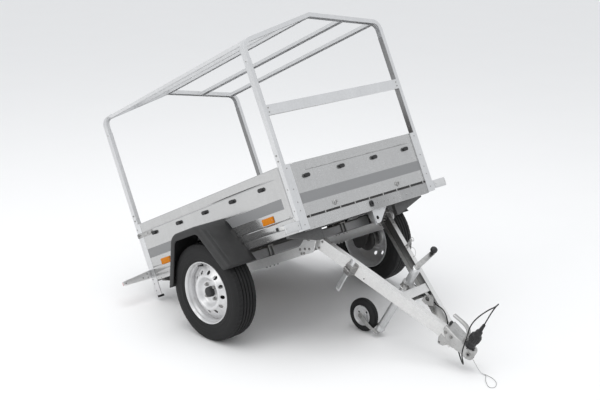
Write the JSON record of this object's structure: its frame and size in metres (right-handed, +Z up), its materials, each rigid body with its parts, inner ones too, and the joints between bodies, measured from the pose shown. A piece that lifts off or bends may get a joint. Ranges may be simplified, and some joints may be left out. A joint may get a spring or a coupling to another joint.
{
  "type": "utility trailer",
  "caption": "Single-axle utility trailer with steel walls and an open tarpaulin frame, bed tipped back, drawbar folded down on a jockey wheel.",
  "frame": {"origin": "on the floor under the middle of the trailer's length and width, cords aside", "axes": "+X forward towards the coupling, +Y to the trailer's left, +Z up from the floor"},
  "size_m": [2.8133, 1.56, 1.832],
  "materials": {
    "galvanised_sheet": "zinc-coated sheet, satin",
    "galvanised_frame": "hot-dip galvanised, dull",
    "zinc_fittings": "zinc-plated",
    "silver_paint": "silver lacquer",
    "floor_board": "film-faced plywood, brown",
    "road_tyre": "matt black rubber",
    "small_tyre": "matt black rubber",
    "rubber_foot": "black rubber",
    "black_plastic": "moulded, fine grain",
    "guard_plastic": "moulded charcoal plastic",
    "red_lens": "red lens",
    "white_lens": "white reflector",
    "amber_lens": "amber reflector",
    "cable_sheath": "black sheath",
    "steel_rope": "twisted steel rope",
    "ferrule_alloy": "pressed aluminium"
  },
  "bodies": {
    "bed": {"axle_tube": "galvanised_frame", "chassis_rail_left": "galvanised_frame", "chassis_rail_right": "galvanised_frame", "cross_beams": "galvanised_frame", "floor_board": "floor_board", "front_corner_posts": "galvanised_frame", "front_crossbar": "galvanised_frame", "front_hoop": "galvanised_frame", "front_markers": "white_lens", "front_panel": "galvanised_sheet", "front_sill": "galvanised_sheet", "gate_latches": "zinc_fittings", "marker_plates": "galvanised_frame", "mudguard_left": "guard_plastic", "mudguard_right": "guard_plastic", "pivot_plates": "galvanised_frame", "post_feet": "rubber_foot", "rear_corner_posts": "galvanised_frame", "rear_hoop": "galvanised_frame", "rear_lamp_brackets": "galvanised_frame", "rear_lamps": "red_lens", "rear_sill": "galvanised_sheet", "roof_bars": "galvanised_frame", "side_panel_left": "galvanised_sheet", "side_panel_right": "galvanised_sheet", "side_reflectors": "amber_lens", "swing_arm_left": "galvanised_frame", "swing_arm_right": "galvanised_frame", "tarp_hooks": "black_plastic"},
    "drawbar": {"drawbar_arm_right": "galvanised_frame", "drawbar_arm_left": "galvanised_frame", "drawbar_channel": "galvanised_frame", "coupling_head": "zinc_fittings", "coupling_handle": "zinc_fittings", "jockey_clamp": "zinc_fittings", "prop_clamp": "zinc_fittings", "prop_leg": "zinc_fittings", "lock_pin": "zinc_fittings", "cable_plate": "zinc_fittings", "plug_holder": "black_plastic", "plug": "black_plastic", "plug_cable": "cable_sheath", "breakaway_cable": "steel_rope", "cable_ferrule": "ferrule_alloy"},
    "jockey_leg": {"jockey_tube": "zinc_fittings", "jockey_crank": "zinc_fittings"},
    "jockey_swivel": {"jockey_fork": "zinc_fittings"},
    "jockey_wheel": {"jockey_tyre": "small_tyre", "jockey_rim": "silver_paint"},
    "right_wheel": {"tyre_right": "road_tyre", "rim_right": "silver_paint", "hub_right": "zinc_fittings"},
    "left_wheel": {"tyre_left": "road_tyre", "rim_left": "silver_paint", "hub_left": "zinc_fittings"},
    "gate": {"tailgate": "galvanised_sheet"}
  },
  "joints": [
    {"name": "right_wheel_spin", "type": "hinge", "parent": "bed", "child": "right_wheel", "pos_m": [-0.05555, -0.682, 0.289], "axis": [0, 1, 0], "continuous": true},
    {"name": "left_wheel_spin", "type": "hinge", "parent": "bed", "child": "left_wheel", "pos_m": [-0.05555, 0.682, 0.289], "axis": [0, 1, 0], "continuous": true},
    {"name": "drawbar_tilt", "type": "hinge", "parent": "bed", "child": "drawbar", "pos_m": [0.37533, 0, 0.62692], "axis": [0, -1, 0], "range_deg": [0, 56.3]},
    {"name": "jockey_leg_slide", "type": "slide", "parent": "drawbar", "child": "jockey_leg", "axis": [0.5075, 0, 0.8616], "range_m": [0, 0.2]},
    {"name": "jockey_swivel_turn", "type": "hinge", "parent": "jockey_leg", "child": "jockey_swivel", "pos_m": [0.61556, 0, 0.03975], "axis": [0.5075, 0, 0.8616], "continuous": true},
    {"name": "jockey_wheel_spin", "type": "hinge", "parent": "jockey_swivel", "child": "jockey_wheel", "pos_m": [0.49321, 0, 0.1], "axis": [0, 1, 0], "continuous": true},
    {"name": "tailgate_hinge", "type": "hinge", "parent": "bed", "child": "gate", "pos_m": [-0.83167, 0, 0.16894], "axis": [0, -1, 0], "range_deg": [0, 90]}
  ]
}
